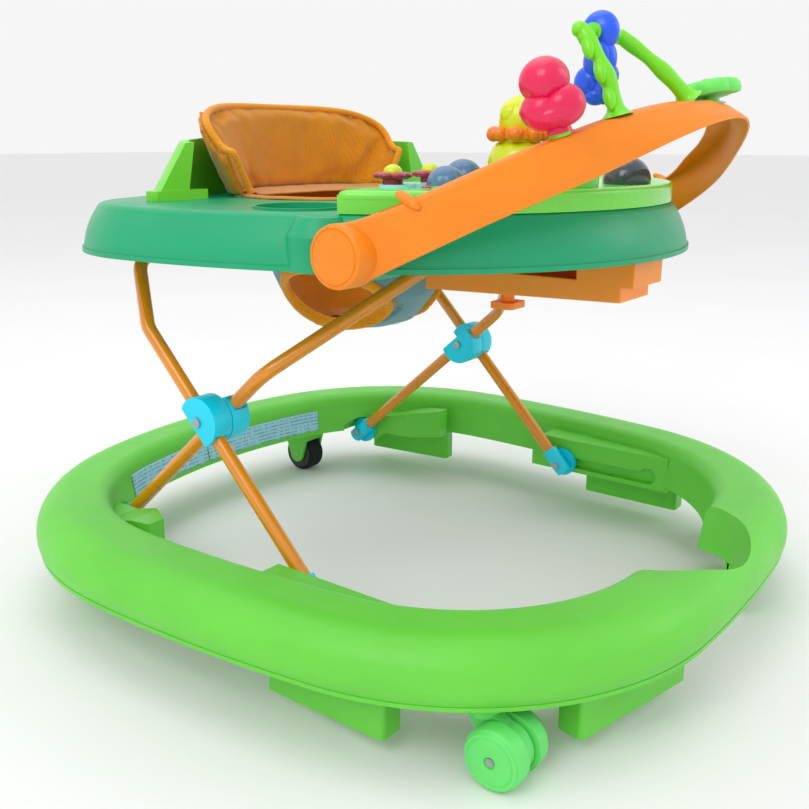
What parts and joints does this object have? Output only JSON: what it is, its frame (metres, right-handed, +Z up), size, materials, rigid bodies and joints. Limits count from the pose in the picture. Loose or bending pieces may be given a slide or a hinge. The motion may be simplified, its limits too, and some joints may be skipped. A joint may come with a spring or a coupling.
{
  "type": "baby walker",
  "caption": "Folding baby walker with an oval floor ring on casters, a scissor frame, a seat tray with a leg-hole seat, and a tilting toy arch over a play tray.",
  "frame": {"origin": "on the floor, below the centre of the floor ring", "axes": "+Z up, +Y to the seat back, -Y to the toys, +X to the seated child's left"},
  "size_m": [0.686, 0.7208, 0.53],
  "materials": {
    "ring_plastic": "satin moulded lime green",
    "tray_plastic": "satin moulded teal green",
    "arch_plastic": "satin moulded orange",
    "tube_paint": "glossy orange-yellow powder coat",
    "clamp_plastic": "satin cyan",
    "fastener_steel": "plain steel",
    "caster_plastic": "satin green",
    "tyre_rubber": "matt black",
    "wheel_core": "matt dark grey",
    "rail_plastic": "satin orange",
    "seat_fabric": "woven orange, padded",
    "bag_fabric": "woven grey-blue",
    "support_plastic": "satin lime green",
    "play_plastic": "glossy light green",
    "red_plastic": "glossy red",
    "yellow_plastic": "glossy yellow",
    "collar_plastic": "glossy orange",
    "blue_plastic": "glossy blue",
    "loop_plastic": "glossy green",
    "leaf_plastic": "glossy pale green",
    "maroon_plastic": "glossy maroon",
    "cloud_plastic": "glossy pale cyan",
    "grey_plastic": "glossy blue-grey",
    "dark_plastic": "glossy dark grey"
  },
  "bodies": {
    "base": {"base_ring": "ring_plastic", "slot_rail_left": "ring_plastic", "slot_rail_right": "ring_plastic", "pivot_boss_left": "ring_plastic", "pivot_boss_right": "ring_plastic", "rear_foot_pins": "fastener_steel", "side_stop_blocks": "ring_plastic", "front_stop_blocks": "ring_plastic", "rear_stop_blocks": "ring_plastic", "caster_sockets": "ring_plastic", "rear_wheel_housing_left": "ring_plastic", "rear_wheel_housing_right": "ring_plastic", "rear_axles": "fastener_steel"},
    "caster_left": {"caster_body_left": "caster_plastic", "caster_axle_left": "fastener_steel"},
    "caster_right": {"caster_body_right": "caster_plastic", "caster_axle_right": "fastener_steel"},
    "caster_pair_left": {"caster_wheels_left": "caster_plastic"},
    "caster_pair_right": {"caster_wheels_right": "caster_plastic"},
    "rear_roller_left": {"rear_wheel_left": "wheel_core", "rear_tyre_left": "tyre_rubber"},
    "rear_roller_right": {"rear_wheel_right": "wheel_core", "rear_tyre_right": "tyre_rubber"},
    "inner_frame": {"inner_frame_tube": "tube_paint", "inner_clamp_left": "clamp_plastic", "inner_clamp_right": "clamp_plastic", "rear_foot_left": "clamp_plastic", "rear_foot_right": "clamp_plastic"},
    "outer_frame": {"outer_frame_tube": "tube_paint", "outer_clamp_left": "clamp_plastic", "outer_clamp_right": "clamp_plastic", "slider_foot_left": "clamp_plastic", "slider_foot_right": "clamp_plastic", "cross_rivets": "fastener_steel", "slider_screws": "fastener_steel"},
    "tray": {"tray_shell": "tray_plastic", "rear_bearings": "tray_plastic", "height_rail": "rail_plastic", "seat_back": "seat_fabric", "back_support": "support_plastic", "seat_bag": "bag_fabric", "seat_cushion": "seat_fabric", "play_tray": "play_plastic", "roller_column": "play_plastic", "yellow_dome": "yellow_plastic", "cloud_panel": "cloud_plastic", "dark_dome": "dark_plastic"},
    "latch": {"height_latch": "rail_plastic"},
    "arch": {"toy_arch": "arch_plastic", "arch_hub_caps": "arch_plastic", "toy_posts": "loop_plastic", "toy_loop": "loop_plastic"},
    "red_spinner": {"red_toy": "red_plastic"},
    "blue_swinger": {"blue_toy": "blue_plastic"},
    "leaf_spinner": {"leaf_toy": "leaf_plastic"},
    "collar": {"bead_collar": "collar_plastic"},
    "roller_toy": {"roller": "red_plastic"},
    "flower_left": {"flower_button_left": "maroon_plastic"},
    "flower_right": {"flower_button_right": "maroon_plastic"},
    "grey_button": {"grey_dome": "grey_plastic"}
  },
  "joints": [
    {"name": "main_fold", "type": "hinge", "parent": "base", "child": "inner_frame", "pos_m": [0, 0.229, 0.055], "axis": [1, 0, 0], "range_deg": [0, 31.5]},
    {"name": "frame_cross", "type": "hinge", "parent": "inner_frame", "child": "outer_frame", "pos_m": [0, 0.067, 0.198], "axis": [1, 0, 0], "range_deg": [-69.5, 0.5]},
    {"name": "tray_level", "type": "hinge", "parent": "outer_frame", "child": "tray", "pos_m": [0, 0.18, 0.334], "axis": [1, 0, 0], "range_deg": [-0.5, 38]},
    {"name": "toy_arch_tilt", "type": "hinge", "parent": "tray", "child": "arch", "pos_m": [0, -0.122, 0.361], "axis": [1, 0, 0], "range_deg": [-48, 0]},
    {"name": "height_latch_lift", "type": "slide", "parent": "tray", "child": "latch", "axis": [0, 0, 1], "range_m": [0, 0.005], "stiffness_N_per_m": 300, "springref_m": -0.002},
    {"name": "red_toy_spin", "type": "hinge", "parent": "arch", "child": "red_spinner", "pos_m": [-0.16009, -0.23666, 0.46287], "axis": [-0.2523, 0.1667, 0.9532], "continuous": true},
    {"name": "leaf_toy_spin", "type": "hinge", "parent": "arch", "child": "leaf_spinner", "pos_m": [0.0288, -0.2747, 0.47982], "axis": [0, 0.2079, 0.9781], "continuous": true},
    {"name": "blue_toy_swing", "type": "hinge", "parent": "arch", "child": "blue_swinger", "pos_m": [-0.086, -0.233, 0.517], "axis": [1, 0, 0], "range_deg": [-60, 60]},
    {"name": "collar_spin", "type": "hinge", "parent": "tray", "child": "collar", "pos_m": [-0.05, -0.148, 0.446], "axis": [0, 0, 1], "continuous": true},
    {"name": "roller_spin", "type": "hinge", "parent": "tray", "child": "roller_toy", "pos_m": [-0.062, -0.205, 0.43], "axis": [0, 0, 1], "continuous": true},
    {"name": "flower_left_press", "type": "slide", "parent": "tray", "child": "flower_left", "axis": [0, 0, -1], "range_m": [0, 0.003], "stiffness_N_per_m": 400, "springref_m": -0.001},
    {"name": "flower_right_press", "type": "slide", "parent": "tray", "child": "flower_right", "axis": [0, 0, -1], "range_m": [0, 0.003], "stiffness_N_per_m": 400, "springref_m": -0.001},
    {"name": "grey_button_press", "type": "slide", "parent": "tray", "child": "grey_button", "axis": [0, 0, -1], "range_m": [0, 0.003], "stiffness_N_per_m": 500, "springref_m": -0.001},
    {"name": "caster_swivel_left", "type": "hinge", "parent": "base", "child": "caster_left", "pos_m": [0.255, -0.252, 0.07], "axis": [0, 0, 1], "continuous": true},
    {"name": "caster_roll_left", "type": "hinge", "parent": "caster_left", "child": "caster_pair_left", "pos_m": [0.255, -0.271, 0.0235], "axis": [1, 0, 0], "continuous": true},
    {"name": "rear_roll_left", "type": "hinge", "parent": "base", "child": "rear_roller_left", "pos_m": [0.157, 0.296, 0.0235], "axis": [1, 0, 0], "continuous": true},
    {"name": "caster_swivel_right", "type": "hinge", "parent": "base", "child": "caster_right", "pos_m": [-0.255, -0.252, 0.07], "axis": [0, 0, 1], "continuous": true},
    {"name": "caster_roll_right", "type": "hinge", "parent": "caster_right", "child": "caster_pair_right", "pos_m": [-0.255, -0.271, 0.0235], "axis": [1, 0, 0], "continuous": true},
    {"name": "rear_roll_right", "type": "hinge", "parent": "base", "child": "rear_roller_right", "pos_m": [-0.157, 0.296, 0.0235], "axis": [1, 0, 0], "continuous": true}
  ],
  "couplings": [
    {"joint": "frame_cross", "follows": "main_fold", "ratio": -2.1894},
    {"joint": "tray_level", "follows": "main_fold", "ratio": 1.1894}
  ]
}
